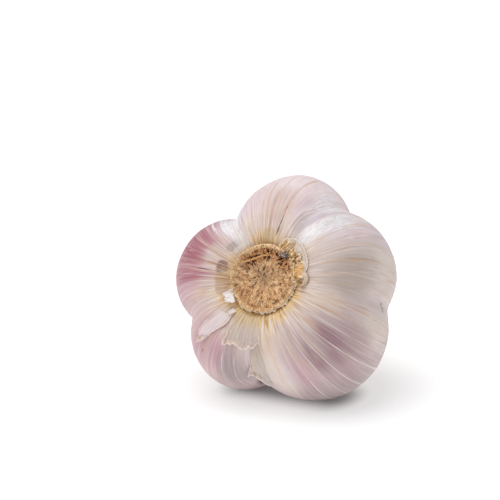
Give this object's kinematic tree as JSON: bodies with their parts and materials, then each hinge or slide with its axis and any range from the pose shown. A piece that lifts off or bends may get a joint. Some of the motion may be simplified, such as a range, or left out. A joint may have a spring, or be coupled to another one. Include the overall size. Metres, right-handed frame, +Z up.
{
  "type": "garlic bulb",
  "caption": "Whole garlic bulb lying on its side: swollen cloves under papery skin, a crusted root plate with torn skin round it, and a dry cut stem.",
  "frame": {"origin": "centre of the bounding box in x and y, on the surface the bulb lies on", "axes": "+Z up from the surface; +Y from the root end to the cut stem, along the longest side; +X to the right as seen from the root end"},
  "size_m": [0.0612, 0.0776, 0.0581],
  "materials": {
    "bulb_skin": "semi-gloss papery skin, cream white with pink, magenta and lilac streaks",
    "root_crust": "rough dry fibre, golden brown",
    "stem_fibre": "matte dry fibre, pale straw",
    "torn_skin": "semi-gloss papery skin, cream white",
    "dry_leaf": "matte dry leaf, tan and golden brown"
  },
  "bodies": {
    "root": {"bulb": "bulb_skin", "root_plate": "root_crust", "stem": "stem_fibre", "torn_skin_long": "torn_skin", "torn_skin_wide": "torn_skin", "torn_skin_strip": "torn_skin", "rim_scrap_upper": "torn_skin", "rim_scrap_lower": "torn_skin", "dry_tip_right": "dry_leaf", "dry_tip_top": "dry_leaf", "dry_tip_left": "dry_leaf", "dry_tip_low": "dry_leaf"}
  },
  "joints": []
}
